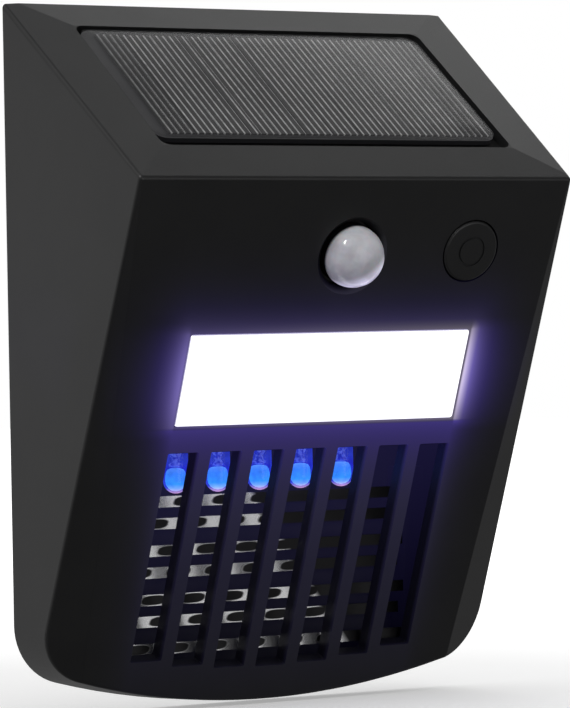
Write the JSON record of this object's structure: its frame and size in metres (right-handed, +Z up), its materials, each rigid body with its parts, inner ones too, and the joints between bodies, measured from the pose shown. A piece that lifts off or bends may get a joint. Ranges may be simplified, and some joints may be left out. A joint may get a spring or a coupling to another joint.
{
  "type": "solar wall bug zapper with motion light",
  "caption": "Wedge-shaped wall-mounted electric bug zapper with a solar top, a motion-sensing light window, a power button and a grille over lamps and an electric grid.",
  "frame": {"origin": "centre of the flat back face that lies against the wall", "axes": "+Z up, +Y into the wall, the front faces -Y, +X to the right seen from the front"},
  "size_m": [0.104, 0.0476, 0.1383],
  "materials": {
    "housing_plastic": "fine matte moulded grain",
    "cover_plastic": "matte moulded",
    "seal_rubber": "soft matte",
    "screw_steel": "zinc plated",
    "foam_tape": "closed-cell foam",
    "solar_board": "laminate",
    "solar_silicon": "dark silicon with fine silver lines",
    "solar_clear": "clear cover",
    "lens_milk": "milky faceted polythene",
    "sensor_metal": "drawn metal can",
    "button_plastic": "satin moulded",
    "switch_plastic": "moulded",
    "window_frost": "frosted, lit from behind",
    "reflector_white": "white moulded",
    "circuit_board": "solder mask",
    "led_white": "phosphor in a white case",
    "uv_epoxy": "clear blue epoxy, lit",
    "holder_plastic": "moulded",
    "grid_steel": "bright stamped sheet",
    "post_plastic": "heat-resistant moulding",
    "cell_wrap": "shrink sleeve",
    "contact_nickel": "nickel plated",
    "ferrite": "sintered",
    "capacitor_resin": "dipped resin",
    "diode_body": "moulded epoxy",
    "chip_body": "moulded epoxy",
    "socket_white": "nylon",
    "wire_red": "PVC sleeve",
    "wire_black": "PVC sleeve",
    "wire_white": "PVC sleeve"
  },
  "bodies": {
    "housing": {"battery_cell": "cell_wrap", "battery_contacts": "contact_nickel", "battery_holder": "holder_plastic", "battery_leads": "wire_black", "board_connectors": "socket_white", "board_link": "wire_white", "button_seal": "seal_rubber", "charge_controller": "chip_body", "cover_screws": "screw_steel", "front_board": "circuit_board", "front_board_screws": "screw_steel", "front_housing": "housing_plastic", "grid_back_comb": "grid_steel", "grid_front_comb": "grid_steel", "grid_leads": "wire_red", "grid_post_left": "post_plastic", "grid_post_right": "post_plastic", "housing_seal": "seal_rubber", "hv_capacitors": "capacitor_resin", "hv_diodes": "diode_body", "hv_transformer": "ferrite", "lamp_leads": "wire_white", "lens_seal": "seal_rubber", "light_leds": "led_white", "light_reflector": "reflector_white", "light_window": "window_frost", "main_board": "circuit_board", "main_board_screws": "screw_steel", "motion_sensor": "sensor_metal", "rear_cover": "cover_plastic", "sensor_lens": "lens_milk", "solar_adhesive": "foam_tape", "solar_backing": "solar_board", "solar_cells": "solar_silicon", "solar_glass": "solar_clear", "solar_leads": "wire_red", "switch_body": "switch_plastic", "uv_lamp_1": "uv_epoxy", "uv_lamp_2": "uv_epoxy", "uv_lamp_3": "uv_epoxy", "uv_lamp_4": "uv_epoxy", "uv_lamp_5": "uv_epoxy", "uv_lamp_board": "circuit_board", "uv_lamp_holder": "holder_plastic"},
    "power_button": {"button_cap": "button_plastic", "switch_plunger": "switch_plastic"}
  },
  "joints": [
    {"name": "button_press", "type": "slide", "parent": "housing", "child": "power_button", "axis": [0, 0.9354, 0.3535], "range_m": [0, 0.0006], "stiffness_N_per_m": 1500, "springref_m": -0.0002}
  ]
}
